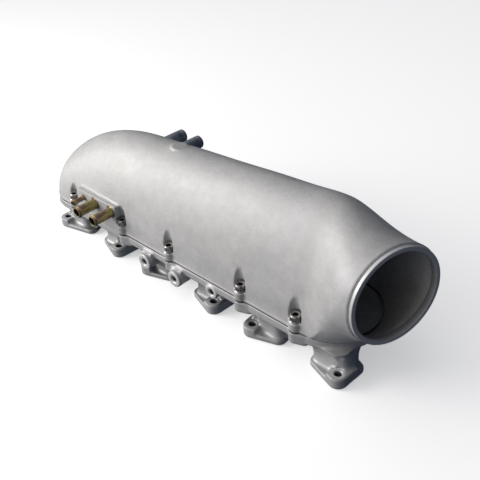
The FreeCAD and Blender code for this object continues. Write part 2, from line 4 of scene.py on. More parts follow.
import bpy
import numpy as np
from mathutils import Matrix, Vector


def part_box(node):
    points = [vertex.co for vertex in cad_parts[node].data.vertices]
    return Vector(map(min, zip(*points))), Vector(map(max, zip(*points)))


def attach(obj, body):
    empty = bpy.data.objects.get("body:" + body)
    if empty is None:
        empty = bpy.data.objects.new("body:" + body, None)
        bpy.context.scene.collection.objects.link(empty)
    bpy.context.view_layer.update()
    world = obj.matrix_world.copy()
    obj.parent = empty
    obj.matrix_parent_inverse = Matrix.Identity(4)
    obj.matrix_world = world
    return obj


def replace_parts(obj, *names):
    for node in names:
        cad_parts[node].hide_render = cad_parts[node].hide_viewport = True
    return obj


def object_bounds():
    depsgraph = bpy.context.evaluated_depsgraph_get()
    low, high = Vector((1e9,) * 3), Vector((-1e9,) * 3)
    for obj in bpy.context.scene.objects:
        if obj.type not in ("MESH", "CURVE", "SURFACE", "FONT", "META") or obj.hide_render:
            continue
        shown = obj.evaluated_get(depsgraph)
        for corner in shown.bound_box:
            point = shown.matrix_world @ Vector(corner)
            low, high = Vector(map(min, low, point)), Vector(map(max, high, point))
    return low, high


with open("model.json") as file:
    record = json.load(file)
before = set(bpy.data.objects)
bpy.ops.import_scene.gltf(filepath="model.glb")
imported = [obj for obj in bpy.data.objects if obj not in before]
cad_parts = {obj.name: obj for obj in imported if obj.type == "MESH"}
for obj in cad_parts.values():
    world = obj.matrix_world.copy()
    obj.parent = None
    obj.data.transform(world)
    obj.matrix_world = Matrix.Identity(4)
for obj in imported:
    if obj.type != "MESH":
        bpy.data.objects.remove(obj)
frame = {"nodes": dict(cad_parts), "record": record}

import openvdb
from mathutils import Matrix, Vector

# Cast intake manifold in two halves, with its screws and hose fittings. Metres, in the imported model's frame.
# The two castings are rebuilt from their CAD solids as volumes: the edges are softened and the inside
# corners filled as in a sand mould, and then the holes and faces are machined back into them.

MM = 0.001
VOXEL = 1.1 * MM
BAND = 8.0

CAD_LOW, CAD_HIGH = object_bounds()
MOUNTS = {mount["name"]: mount for mount in frame["record"]["mounts"]}

FLANGE_LEVEL = 0.0
SEAM_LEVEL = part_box("upper_shell")[0].z
GASKET_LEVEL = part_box("lower_shell")[1].z
SEAT_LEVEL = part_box("washers_near")[0].z
BOLT_PAD_LEVEL = 14.0 * MM
BOSS_FACE_AHEAD = 8.0 * MM
INLET_BORE_RADIUS = 51.0 * MM
NECK_ROOM = 75.0 * MM
PRESS_DEPTH = 9.0 * MM
SPIGOT_STEP = 0.5 * MM
BOLT_OFFSET_ACROSS = 18.5 * MM
BOLT_HOLE_RADIUS = 4.2 * MM
SPOT_FACE_RADIUS = 7.8 * MM
BOSS_ROOM = 14 * MM
SCREW_HEAD_HEIGHT = 8.0 * MM
SCREW_RADIUS = 4.0 * MM
SCREW_CLEARANCE_RADIUS = 4.4 * MM
HEAD_ROOM_RADIUS = 7.4 * MM
COLLAR_GROWTH = 0.6 * MM
STEM_STEP = 0.7 * MM
LARGE_NIPPLE_BORE = 6.2 * MM
SMALL_NIPPLE_BORE = 2.8 * MM
REAR_PIPE_BORE = 7.7 * MM
MACHINED_DEPTH = 0.8 * MM
EVERYWHERE = Vector((1, 1, 1))
UP = Vector((0.0, 0.0, 1.0))


def mount_place(name):
    return Vector(MOUNTS[name]["pos_m"])


def mount_way(name):
    return Vector(MOUNTS[name]["axis"]).normalized()


def mount_radius(name):
    return MOUNTS[name]["dims"]["r_mm"] * MM


def node_points(node):
    mesh = frame["nodes"][node].data
    points = np.empty(len(mesh.vertices) * 3, np.float32)
    mesh.vertices.foreach_get("co", points)
    return points.reshape(-1, 3)


def stations(node, gap=20.0 * MM):
    """Boxes (low, high) of the separate solids of a node that stand in a row along X."""
    points = node_points(node)
    points = points[np.argsort(points[:, 0])]
    breaks = np.flatnonzero(np.diff(points[:, 0]) > gap) + 1
    groups = np.split(points, breaks)
    return [(Vector(group.min(0).tolist()), Vector(group.max(0).tolist())) for group in groups]


# ------------------------------------------------------------------ castings as volumes

class Volume:
    """Signed distance on a grid, made from a CAD node. Negative inside the metal."""

    def __init__(self, node):
        mesh = frame["nodes"][node].data
        mesh.calc_loop_triangles()
        corners = np.empty(len(mesh.loop_triangles) * 3, np.int32)
        mesh.loop_triangles.foreach_get("vertices", corners)
        triangles = corners.reshape(-1, 3).astype(np.uint32)
        transform = openvdb.createLinearTransform(voxelSize=VOXEL)
        grid = openvdb.FloatGrid.createLevelSetFromPolygons(
            node_points(node), triangles=triangles, transform=transform, halfWidth=BAND)
        low, high = grid.evalActiveVoxelBoundingBox()
        self.first = tuple(int(k) - 2 for k in low)
        shape = [int(b) - int(a) + 5 for a, b in zip(low, high)]
        self.values = np.empty(shape, np.float32)
        grid.copyToArray(self.values, self.first)

    def window(self, low, high):
        """Slices and coordinates of the part of the grid between two corners."""
        slices = []
        axes = []
        for axis in range(3):
            start = max(int(math.floor(low[axis] / VOXEL)) - self.first[axis] - 1, 0)
            stop = min(int(math.ceil(high[axis] / VOXEL)) - self.first[axis] + 2, self.values.shape[axis])
            slices.append(slice(start, stop))
            axes.append((np.arange(start, stop, dtype=np.float32) + self.first[axis]) * VOXEL)
        return tuple(slices), np.meshgrid(*axes, indexing="ij", sparse=True)

    def softened(self, spread):
        """The distance, blurred by a Gaussian whose spread is in metres."""
        sigma = spread / VOXEL
        reach = int(math.ceil(2.5 * sigma))
        weights = np.exp(-0.5 * (np.arange(-reach, reach + 1) / sigma) ** 2)
        weights = (weights / weights.sum()).astype(np.float32)
        result = self.values
        for axis in range(3):
            padding = [(0, 0)] * 3
            padding[axis] = (reach, reach)
            padded = np.pad(result, padding, mode="edge")
            total = np.zeros_like(result)
            for step, weight in enumerate(weights):
                picked = [slice(None)] * 3
                picked[axis] = slice(step, step + result.shape[axis])
                total += weight * padded[tuple(picked)]
            result = total
        return result

    def cast(self, edge_spread, corner_spread):
        """Round the outside edges a little and fill the inside corners more."""
        edges = self.softened(edge_spread)
        corners = self.softened(corner_spread)
        self.values = np.minimum(edges, corners)

    def drill(self, start, way, length, radius):
        """Remove a cylinder."""
        ends = [start, start + way * length]
        room = Vector((radius, radius, radius)) * 1.5
        low = Vector([min(p[k] for p in ends) for k in range(3)]) - room
        high = Vector([max(p[k] for p in ends) for k in range(3)]) + room
        slices, grid = self.window(low, high)
        offsets = [grid[k] - start[k] for k in range(3)]
        along = sum(offsets[k] * way[k] for k in range(3))
        radial = np.sqrt(sum((offsets[k] - along * way[k]) ** 2 for k in range(3)))
        tool = np.maximum(np.maximum(radial - radius, -along), along - length)
        self.values[slices] = np.maximum(self.values[slices], -tool)

    def face_off(self, place, way, room):
        """Remove what stands beyond a plane, within a cube around a place on it."""
        extent = Vector((room, room, room))
        slices, grid = self.window(place - extent, place + extent)
        beyond = sum((grid[k] - place[k]) * way[k] for k in range(3))
        self.values[slices] = np.maximum(self.values[slices], beyond)

    def surface(self):
        grid = openvdb.FloatGrid(float(BAND * VOXEL))
        grid.transform = openvdb.createLinearTransform(voxelSize=VOXEL)
        grid.copyFromArray(self.values, self.first)
        points, quads = grid.convertToQuads(0.0)
        return points.astype(np.float64), quads.astype(np.int64)[:, ::-1]


def neighbour_mean(field, edges, counts):
    """Mean of each point's neighbours along the mesh edges."""
    total = np.empty_like(field)
    for k in range(field.shape[1]):
        column = field[:, k]
        total[:, k] = np.bincount(edges[:, 0], column[edges[:, 1]], len(field))
        total[:, k] += np.bincount(edges[:, 1], column[edges[:, 0]], len(field))
    return total / counts[:, None]


def point_normals(points, quads):
    corners = points[quads]
    facing = np.cross(corners[:, 2] - corners[:, 0], corners[:, 3] - corners[:, 1])
    total = np.zeros_like(points)
    for k in range(3):
        for corner in range(4):
            total[:, k] += np.bincount(quads[:, corner], facing[:, k], len(points))
    return total / np.maximum(np.linalg.norm(total, axis=1), 1e-12)[:, None]


def smooth_ramp(value, low, high):
    share = np.clip((value - low) / (high - low), 0.0, 1.0)
    return share * share * (3.0 - 2.0 * share)


def relaxed(points, quads, rounds):
    """Smooth the broad surfaces, where the normals hardly change, and leave edges and features alone."""
    edges = np.concatenate([quads[:, [k, (k + 1) % 4]] for k in range(4)])
    edges = np.unique(np.sort(edges, axis=1), axis=0)
    counts = np.maximum(np.bincount(edges.ravel(), minlength=len(points)), 1)
    normals = point_normals(points, quads)
    spread = normals
    for _ in range(10):
        spread = 0.5 * spread + 0.5 * neighbour_mean(spread, edges, counts)
    bend = 1.0 - np.linalg.norm(spread, axis=1)
    calm = (1.0 - smooth_ramp(bend, 0.006, 0.02))[:, None]
    for _ in range(4):
        calm = np.minimum(calm, neighbour_mean(calm, edges, counts))
    for _ in range(rounds):
        shift = neighbour_mean(points, edges, counts) - points
        points = points + 0.6 * calm * shift
    return points


def add_mesh(name, points, faces):
    mesh = bpy.data.meshes.new(name)
    fill_mesh(mesh, points, faces)
    mesh.update()
    mesh.validate()
    piece = bpy.data.objects.new(name, mesh)
    bpy.context.scene.collection.objects.link(piece)
    return piece


def fill_mesh(mesh, points, faces):
    """Load points and faces that all have the same number of corners."""
    faces = np.asarray(faces)
    corners = faces.shape[1]
    mesh.vertices.add(len(points))
    mesh.vertices.foreach_set("co", np.asarray(points, np.float32).ravel())
    mesh.loops.add(faces.size)
    mesh.loops.foreach_set("vertex_index", faces.ravel().astype(np.int32))
    mesh.polygons.add(len(faces))
    mesh.polygons.foreach_set("loop_start", np.arange(0, faces.size, corners, dtype=np.int32))
    mesh.polygons.foreach_set("use_smooth", np.ones(len(faces), bool))


def mark_machined(piece, places):
    """Store where the casting was machined, as (place, way, radius, depth) discs, for the material."""
    mesh = piece.data
    points = np.empty(len(mesh.vertices) * 3, np.float32)
    mesh.vertices.foreach_get("co", points)
    points = points.reshape(-1, 3)
    worked = np.zeros(len(points), np.float32)
    for place, way, radius, depth in places:
        offsets = points - np.array(place, np.float32)
        along = offsets @ np.array(way, np.float32)
        radial = np.sqrt(np.maximum((offsets ** 2).sum(1) - along ** 2, 0.0))
        worked[(np.abs(along) < depth) & (radial < radius)] = 1.0
    layer = mesh.attributes.new("machined", "FLOAT", "POINT")
    layer.data.foreach_set("value", worked)


# ------------------------------------------------------------------ the two castings

def inlet_face():
    """Centre and direction of the mouth of the inlet."""
    way = mount_way("inlet_lip")
    return mount_place("inlet_lip") + way * (MOUNTS["inlet_lip"]["dims"]["length_mm"] / 2 * MM), way


def screw_places():
    boxes = stations("cap_screws_near") + stations("cap_screws_far")
    return [Vector(((low.x + high.x) / 2, (low.y + high.y) / 2, 0.0)) for low, high in boxes]


def press_holes():
    """Corners of each pressed-in nipple or pipe, and the radius of the hole it sits in."""
    holes = []
    for node in ("nipple_large_1", "nipple_large_2", "nipple_small", "rear_fitting"):
        low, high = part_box(node)
        radius = (high.x - low.x) / 2 - COLLAR_GROWTH - STEM_STEP
        holes.append((low, high, radius))
    for node in ("rear_pipe_1", "rear_pipe_2"):
        low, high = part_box(node)
        holes.append((low, high, (high.x - low.x) / 2 - SPIGOT_STEP))
    return holes


def build_upper_casting():
    volume = Volume("upper_shell")
    volume.cast(0.7 * MM, 2.4 * MM)
    face, way = inlet_face()
    lip_length = MOUNTS["inlet_lip"]["dims"]["length_mm"] * MM
    volume.face_off(face - way * lip_length, way, NECK_ROOM)
    volume.drill(face - way * 12 * MM, way, 14 * MM, INLET_BORE_RADIUS + 0.4 * MM)
    machined = [(face, way, NECK_ROOM, lip_length + 0.3 * MM)]
    for low, high, radius in press_holes():
        start = Vector(((low.x + high.x) / 2, low.y, (low.z + high.z) / 2))
        volume.drill(start, Vector((0, 1, 0)), high.y - low.y, radius)
    for spot in screw_places():
        seat = Vector((spot.x, spot.y, SEAT_LEVEL))
        volume.drill(seat, UP, 10 * MM, HEAD_ROOM_RADIUS)
        volume.drill(Vector((spot.x, spot.y, SEAM_LEVEL - 5 * MM)), UP, 30 * MM, SCREW_CLEARANCE_RADIUS)
        machined.append((seat, UP, 9.0 * MM, MACHINED_DEPTH))
    grid = volume.window(CAD_LOW - EVERYWHERE, CAD_HIGH + EVERYWHERE)[1]
    volume.values = np.maximum(volume.values, SEAM_LEVEL - grid[2])
    points, quads = volume.surface()
    casting = add_mesh("upper_casting", relaxed(points, quads, 40), quads)
    piece = joined_pieces(casting, build_inlet_ring(face, way, lip_length))
    mark_machined(piece, machined)
    return piece


def build_inlet_ring(face, way, length):
    """The turned lip of the inlet, with its corners broken."""
    outer = mount_radius("inlet_lip")
    inner = INLET_BORE_RADIUS
    ease = 0.45 * MM
    back = -length - 4.0 * MM
    rings = [(inner + 1.0 * MM, back), (inner, back + 2.0 * MM), (inner, -ease), (inner + ease, 0.0),
             (outer - ease, 0.0), (outer, -ease), (outer, -length * 0.72)]
    rings += [(outer - 0.5 * MM, -length * 0.80), (outer - 0.5 * MM, -length), (outer - 0.8 * MM, back)]
    return turned("inlet_ring", rings, 256, True, face, way)


def joined_pieces(main, extra):
    """Make one object of two."""
    bpy.ops.object.select_all(action="DESELECT")
    extra.select_set(True)
    main.select_set(True)
    bpy.context.view_layer.objects.active = main
    bpy.ops.object.join()
    return main


def flange_bolts():
    """Centres of the two bolt holes of every flange, on the flange face."""
    places = []
    for near, far in flange_hole_pairs():
        places += [near, far]
    return places


def flange_hole_pairs():
    """The near and far hole of each flange, which swap ends from one flange to the next."""
    pairs = []
    for number in range(1, 7):
        centre = mount_place("flange_%d_bolts" % number)
        half = MOUNTS["flange_%d_bolts" % number]["dims"]["pcd_mm"] / 2 * MM
        along = math.sqrt(half ** 2 - BOLT_OFFSET_ACROSS ** 2)
        near_side = -1.0 if number % 2 else 1.0
        step = Vector((near_side * along, -BOLT_OFFSET_ACROSS, 0.0))
        pairs.append((centre + step, centre - step))
    return pairs


def build_lower_casting():
    volume = Volume("lower_shell")
    volume.cast(0.8 * MM, 2.4 * MM)
    machined = []
    for spot in flange_bolts():
        pad = Vector((spot.x, spot.y, BOLT_PAD_LEVEL))
        volume.drill(Vector((spot.x, spot.y, -5 * MM)), UP, 30 * MM, BOLT_HOLE_RADIUS)
        volume.drill(pad, UP, 16 * MM, SPOT_FACE_RADIUS)
        machined.append((pad, UP, 8.4 * MM, MACHINED_DEPTH))
    for number in (1, 2, 3):
        name = "side_thread_%d" % number
        way = mount_way(name)
        face = mount_place(name) + way * BOSS_FACE_AHEAD
        volume.face_off(face, way, BOSS_ROOM)
        volume.drill(face - way * 16 * MM, way, 20 * MM, mount_radius(name))
        volume.drill(face - way * 1.2 * MM, way, 4 * MM, mount_radius(name) + 1.2 * MM)
        machined.append((face, way, BOSS_ROOM, MACHINED_DEPTH))
    for spot in screw_places():
        volume.drill(Vector((spot.x, spot.y, GASKET_LEVEL - 17 * MM)), UP, 22 * MM, SCREW_RADIUS)
    grid = volume.window(CAD_LOW - EVERYWHERE, CAD_HIGH + EVERYWHERE)[1]
    volume.values = np.maximum(volume.values, FLANGE_LEVEL - grid[2])
    volume.values = np.maximum(volume.values, grid[2] - GASKET_LEVEL)
    points, quads = volume.surface()
    piece = add_mesh("lower_casting", relaxed(points, quads, 25), quads)
    mark_machined(piece, machined + [(Vector((0, 0, 0)), UP, 1.0, 0.4 * MM)])
    return piece


# ------------------------------------------------------------------ turned hardware

def turned(name, rings, count, closed, seat, way):
    """A turned piece. A ring is (radius, height), and its radius may be a function of the angle."""
    points = []
    angles = [2 * math.pi * k / count for k in range(count)]
    for radius, height in rings:
        for angle in angles:
            reach = radius(angle) if callable(radius) else radius
            points.append((reach * math.cos(angle), reach * math.sin(angle), height))
    faces = []
    pairs = len(rings) if closed else len(rings) - 1
    for row in range(pairs):
        below = row * count
        above = ((row + 1) % len(rings)) * count
        for k in range(count):
            after = (k + 1) % count
            faces.append((below + k, below + after, above + after, above + k))
    mesh = bpy.data.meshes.new(name)
    if not closed:
        faces.append(tuple(range(count - 1, -1, -1)))
        faces.append(tuple((len(rings) - 1) * count + k for k in range(count)))
    mesh.from_pydata(points, [], faces)
    turn = UP.rotation_difference(way).to_matrix().to_4x4()
    mesh.transform(Matrix.Translation(seat) @ turn)
    mesh.update()
    for polygon in mesh.polygons:
        polygon.use_smooth = True
    mesh.set_sharp_from_angle(angle=math.radians(32))
    piece = bpy.data.objects.new(name, mesh)
    bpy.context.scene.collection.objects.link(piece)
    return piece


def hexagon(across_corners):
    """Radius of a hexagon at an angle."""
    def radius(angle):
        within = (angle % (math.pi / 3)) - math.pi / 6
        return across_corners / 2 * math.cos(math.pi / 6) / math.cos(within)
    return radius


def knurled(radius, depth, teeth):
    def reach(angle):
        phase = (angle * teeth / (2 * math.pi)) % 1.0
        return radius - depth * abs(2 * phase - 1)
    return reach


def threaded(radius, depth, pitch, height):
    def reach(angle):
        phase = (height / pitch - angle / (2 * math.pi)) % 1.0
        return radius - depth * abs(2 * phase - 1)
    return reach


def cap_screw_rings(low, high):
    """From the tip of the shank up over the knurled head and down into the hexagonal socket."""
    head_radius = (high.x - low.x) / 2
    head_height = SCREW_HEAD_HEIGHT
    shank = SCREW_RADIUS
    pitch = 1.25 * MM
    length = high.z - low.z
    seat = length - head_height
    rings = [(shank - 1.2 * MM, 0.0)]
    steps = int(seat * 0.8 / (pitch / 4))
    for k in range(1, steps):
        height = k * pitch / 4
        rings.append((threaded(shank, 0.6 * MM, pitch, height), height))
    rings.append((shank - 0.1 * MM, seat * 0.82))
    rings.append((shank - 0.1 * MM, seat - 0.01 * MM))
    rings.append((head_radius - 0.5 * MM, seat))
    for share in (0.06, 0.12, 0.5, 0.84):
        rings.append((knurled(head_radius, 0.32 * MM, 24), seat + head_height * share))
    rings.append((head_radius - 0.35 * MM, seat + head_height * 0.88))
    rings.append((head_radius - 0.9 * MM, length))
    socket = hexagon(6.92 * MM)
    rings.append((4.05 * MM, length))
    rings.append((socket, length - 0.5 * MM))
    rings.append((socket, length - 4.0 * MM))
    rings.append((0.6 * MM, length - 5.2 * MM))
    return rings


def build_cap_screws(row):
    pieces = []
    for number, (low, high) in enumerate(stations("cap_screws_" + row), start=1):
        seat = Vector(((low.x + high.x) / 2, (low.y + high.y) / 2, low.z))
        turn = Matrix.Rotation(0.6 * number, 4, "Z")
        piece = turned("cap_screw_%s_%d" % (row, number), cap_screw_rings(low, high), 96, False,
                       Vector((0, 0, 0)), UP)
        piece.data.transform(Matrix.Translation(seat) @ turn)
        pieces.append(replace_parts(piece, "cap_screws_" + row))
    return pieces


def build_washers(row):
    pieces = []
    for number, (low, high) in enumerate(stations("washers_" + row), start=1):
        outer = (high.x - low.x) / 2
        inner = 4.3 * MM
        thick = high.z - low.z
        ease = 0.3 * MM
        rings = [(inner, ease), (inner + ease, 0.0), (outer - ease, 0.0), (outer, ease),
                 (outer, thick - ease), (outer - ease, thick), (inner + ease, thick), (inner, thick - ease)]
        seat = Vector(((low.x + high.x) / 2, (low.y + high.y) / 2, low.z))
        piece = turned("washer_%s_%d" % (row, number), rings, 64, True, seat, UP)
        pieces.append(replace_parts(piece, "washers_" + row))
    return pieces


def nipple_rings(radius, bore, total, pressed):
    """Pressed end, slimmer stem, rolled bead near the mouth and the bore, from the inside outwards."""
    fit = radius - STEM_STEP
    stem = bore + (fit - bore) * 0.7
    bead = total - 3.2 * MM
    rings = [(fit - 0.4 * MM, 0.0), (fit, 0.5 * MM), (fit, pressed - 1.2 * MM)]
    rings += [(stem, pressed - 0.8 * MM), (stem, pressed - 0.6 * MM), (stem, bead - 2.9 * MM)]
    for share in (-1.0, -0.8, -0.5, -0.2, 0.0, 0.2, 0.5, 0.8, 1.0):
        swell = 0.5 + 0.5 * math.cos(math.pi * share)
        rings.append((stem + (radius - stem) * swell, bead + 2.0 * MM * share))
    rings += [(stem, total - 0.7 * MM), (stem - 0.25 * MM, total - 0.2 * MM), (stem - 0.6 * MM, total),
              (bore + 0.35 * MM, total), (bore, total - 0.5 * MM), (bore, total - 3.0 * MM),
              (bore, 0.5 * MM), (bore + 0.3 * MM, 0.0)]
    return rings


def build_nipple(node, bore, way):
    low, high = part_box(node)
    radius = (high.x - low.x) / 2 - COLLAR_GROWTH
    root = low.y if way.y > 0 else high.y
    seat = Vector(((low.x + high.x) / 2, root, (low.z + high.z) / 2))
    rings = nipple_rings(radius, bore, high.y - low.y, PRESS_DEPTH)
    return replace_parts(turned("fitted_" + node, rings, 96, True, seat, way), node)


def build_rear_pipe(node):
    low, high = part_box(node)
    outer = (high.x - low.x) / 2
    bore = REAR_PIPE_BORE
    total = high.y - low.y
    spigot = outer - SPIGOT_STEP
    rings = [(spigot - 0.5 * MM, 0.0), (spigot, 0.6 * MM), (spigot, PRESS_DEPTH),
             (outer - 0.2 * MM, PRESS_DEPTH), (outer, PRESS_DEPTH + 0.2 * MM)]
    rings += [(outer, total - 8.0 * MM), (outer - 0.12 * MM, total - 7.6 * MM),
              (outer - 0.12 * MM, total - 6.4 * MM), (outer, total - 6.0 * MM),
              (outer, total - 0.8 * MM), (outer - 0.25 * MM, total - 0.25 * MM), (outer - 0.7 * MM, total),
              (bore + 0.4 * MM, total), (bore, total - 0.5 * MM), (bore, 0.5 * MM), (bore + 0.3 * MM, 0.0)]
    seat = Vector(((low.x + high.x) / 2, low.y, (low.z + high.z) / 2))
    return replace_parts(turned("fitted_" + node, rings, 96, True, seat, Vector((0, 1, 0))), node)


# ------------------------------------------------------------------ materials

def new_material(name):
    material = bpy.data.materials.new(name)
    material.use_nodes = True
    tree = material.node_tree
    return material, tree, tree.nodes["Principled BSDF"]


def noise(tree, scale, detail=4.0, roughness=0.55, stretch=(1, 1, 1)):
    """Noise in object space, whose scale is in features per metre."""
    place = tree.nodes.new("ShaderNodeTexCoord")
    mapping = tree.nodes.new("ShaderNodeMapping")
    mapping.inputs["Scale"].default_value = stretch
    texture = tree.nodes.new("ShaderNodeTexNoise")
    texture.inputs["Scale"].default_value = scale
    texture.inputs["Detail"].default_value = detail
    texture.inputs["Roughness"].default_value = roughness
    tree.links.new(place.outputs["Object"], mapping.inputs["Vector"])
    tree.links.new(mapping.outputs["Vector"], texture.inputs["Vector"])
    return texture.outputs["Fac"]


def ramp(tree, source, stops):
    """Map a number to a colour through (position, colour) stops."""
    node = tree.nodes.new("ShaderNodeValToRGB")
    elements = node.color_ramp.elements
    while len(elements) < len(stops):
        elements.new(0.5)
    for element, (position, colour) in zip(elements, stops):
        element.position = position
        element.color = (*colour, 1.0)
    tree.links.new(source, node.inputs["Fac"])
    return node.outputs["Color"]


def span(tree, source, low, high, start=0.35, stop=0.65):
    """Map a number to a range."""
    node = tree.nodes.new("ShaderNodeMapRange")
    node.inputs["From Min"].default_value = start
    node.inputs["From Max"].default_value = stop
    node.inputs["To Min"].default_value = low
    node.inputs["To Max"].default_value = high
    tree.links.new(source, node.inputs["Value"])
    return node.outputs["Result"]


def mixed(tree, share, first, second):
    """Mix two colours. Each may be a socket or a plain colour."""
    node = tree.nodes.new("ShaderNodeMix")
    node.data_type = "RGBA"
    connect(tree, share, node.inputs[0])
    connect(tree, first, node.inputs[6])
    connect(tree, second, node.inputs[7])
    return node.outputs[2]


def connect(tree, value, socket):
    if isinstance(value, bpy.types.NodeSocket):
        tree.links.new(value, socket)
    elif isinstance(value, tuple):
        socket.default_value = (*value, 1.0)
    else:
        socket.default_value = value


def maths(tree, way, first, second):
    node = tree.nodes.new("ShaderNodeMath")
    node.operation = way
    connect(tree, first, node.inputs[0])
    connect(tree, second, node.inputs[1])
    return node.outputs[0]


def bumped(tree, shader, heights):
    """Chain bumps from (height socket, strength, distance) and feed them to the shader."""
    last = None
    for height, strength, distance in heights:
        node = tree.nodes.new("ShaderNodeBump")
        node.inputs["Strength"].default_value = strength
        node.inputs["Distance"].default_value = distance
        tree.links.new(height, node.inputs["Height"])
        if last is not None:
            tree.links.new(last, node.inputs["Normal"])
        last = node.outputs["Normal"]
    tree.links.new(last, shader.inputs["Normal"])


def edge_wear(tree, low, high):
    geometry = tree.nodes.new("ShaderNodeNewGeometry")
    return span(tree, geometry.outputs["Pointiness"], 0.0, 1.0, low, high)


def painted_shade_share(tree, distance, low, high):
    """Ambient occlusion, 0 deep inside a hollow and 1 in the open, used to paint shade into the colour of
    hollows.
    """
    open_sky = tree.nodes.new("ShaderNodeAmbientOcclusion")
    open_sky.samples = 8
    open_sky.only_local = True
    open_sky.inputs["Distance"].default_value = distance
    return span(tree, open_sky.outputs["AO"], 0.0, 1.0, low, high)


def cast_aluminium(name, tone, roughness):
    """Bead-blasted casting: fine grain, cloudy stains, hairline scratches and brighter machined faces, with
    painted shade in its hollows.
    """
    material, tree, shader = new_material(name)
    shader.inputs["Metallic"].default_value = 0.35
    clouds = noise(tree, 9.0, 5.0, 0.6)
    stains = noise(tree, 26.0, 6.0, 0.65, (1.0, 0.8, 1.6))
    grain = noise(tree, 900.0, 3.0, 0.6)
    fine = noise(tree, 2600.0, 2.0, 0.5)
    streaks = noise(tree, 120.0, 4.0, 0.7, (0.9, 1.6, 0.5))
    scratches = noise(tree, 420.0, 2.0, 0.4, (0.2, 1.8, 0.3))
    base = ramp(tree, clouds, [(0.30, tuple(tone[k] * (0.90, 0.905, 0.93)[k] for k in range(3))),
                               (0.52, tone),
                               (0.72, tuple(tone[k] * (1.06, 1.045, 1.02)[k] for k in range(3)))])
    blotches = ramp(tree, stains, [(0.35, (0.36, 0.355, 0.35)), (0.65, (0.72, 0.71, 0.70))])
    specks = ramp(tree, grain, [(0.38, (0.30, 0.30, 0.30)), (0.62, (0.78, 0.78, 0.77))])
    rubs = ramp(tree, streaks, [(0.42, (0.35, 0.35, 0.36)), (0.62, (0.8, 0.8, 0.8))])
    mottled = mixed(tree, 0.26, base, blotches)
    grained = mixed(tree, 0.20, mottled, specks)
    streaked = mixed(tree, 0.07, grained, rubs)
    bright = maths(tree, "MULTIPLY", edge_wear(tree, 0.515, 0.57), 0.65)
    worn = mixed(tree, bright, streaked, (0.86, 0.86, 0.85))
    grime = maths(tree, "MULTIPLY", edge_wear(tree, 0.485, 0.43), 0.6)
    dirt = mixed(tree, grime, worn, (0.13, 0.13, 0.135))
    worked = tree.nodes.new("ShaderNodeAttribute")
    worked.attribute_name = "machined"
    cut = maths(tree, "MULTIPLY", worked.outputs["Fac"], 0.7)
    machined = mixed(tree, cut, dirt, (0.78, 0.78, 0.78))
    # Painted shade: hollows and the inside of the casting are darkened to a near-black blue, standing in for
    # the shade that falls there.
    unshaded_share = painted_shade_share(tree, 0.11, 0.18, 0.50)
    tree.links.new(mixed(tree, unshaded_share, (0.005, 0.009, 0.018), machined), shader.inputs["Base Color"])
    dull = maths(tree, "ADD", span(tree, stains, roughness - 0.05, roughness + 0.07),
                 span(tree, grain, -0.04, 0.05))
    shine = maths(tree, "MULTIPLY", maths(tree, "SUBTRACT", 1.0, maths(tree, "MULTIPLY", cut, 0.3)), dull)
    tree.links.new(shine, shader.inputs["Roughness"])
    bumped(tree, shader, [(stains, 0.25, 0.0012), (grain, 0.35, 0.00022), (fine, 0.25, 0.00008),
                          (scratches, 0.12, 0.00012)])
    return material


def zinc_passivated():
    """Yellow zinc plating with the green, red and violet bands of its passivation."""
    material, tree, shader = new_material("zinc_passivated")
    shader.inputs["Metallic"].default_value = 0.85
    bands = noise(tree, 70.0, 3.0, 0.5, (1.0, 0.7, 1.0))
    speckle = noise(tree, 700.0, 3.0, 0.6)
    colour = ramp(tree, bands, [(0.34, (0.30, 0.30, 0.07)), (0.44, (0.46, 0.41, 0.13)),
                                (0.50, (0.42, 0.27, 0.16)), (0.56, (0.30, 0.17, 0.17)),
                                (0.63, (0.44, 0.34, 0.14)), (0.72, (0.24, 0.29, 0.10))])
    dots = ramp(tree, speckle, [(0.40, (0.14, 0.10, 0.06)), (0.62, (0.60, 0.52, 0.32))])
    spotted = mixed(tree, 0.25, colour, dots)
    rubbed = maths(tree, "MULTIPLY", edge_wear(tree, 0.53, 0.60), 0.7)
    worn = mixed(tree, rubbed, spotted, (0.85, 0.80, 0.68))
    # Painted shade: the plating is darkened to near black in hollows and where it meets other parts.
    unshaded_share = painted_shade_share(tree, 0.03, 0.20, 0.42)
    tree.links.new(mixed(tree, unshaded_share, (0.012, 0.010, 0.008), worn), shader.inputs["Base Color"])
    tree.links.new(span(tree, speckle, 0.24, 0.42), shader.inputs["Roughness"])
    bumped(tree, shader, [(speckle, 0.2, 0.0001), (bands, 0.1, 0.0003)])
    return material


def screw_steel():
    material, tree, shader = new_material("screw_steel")
    shader.inputs["Metallic"].default_value = 0.95
    grime = noise(tree, 260.0, 4.0, 0.6)
    fine = noise(tree, 1500.0, 2.0, 0.5)
    colour = ramp(tree, grime, [(0.35, (0.14, 0.12, 0.11)), (0.50, (0.36, 0.34, 0.32)),
                                (0.68, (0.56, 0.54, 0.52))])
    worn = mixed(tree, edge_wear(tree, 0.52, 0.60), colour, (0.82, 0.80, 0.77))
    # Painted shade: the screws are darkened to near black in the socket, the threads and other hollows.
    unshaded_share = painted_shade_share(tree, 0.008, 0.25, 0.60)
    tree.links.new(mixed(tree, unshaded_share, (0.010, 0.009, 0.008), worn), shader.inputs["Base Color"])
    tree.links.new(span(tree, grime, 0.22, 0.42), shader.inputs["Roughness"])
    bumped(tree, shader, [(grime, 0.15, 0.0002), (fine, 0.15, 0.00006)])
    return material


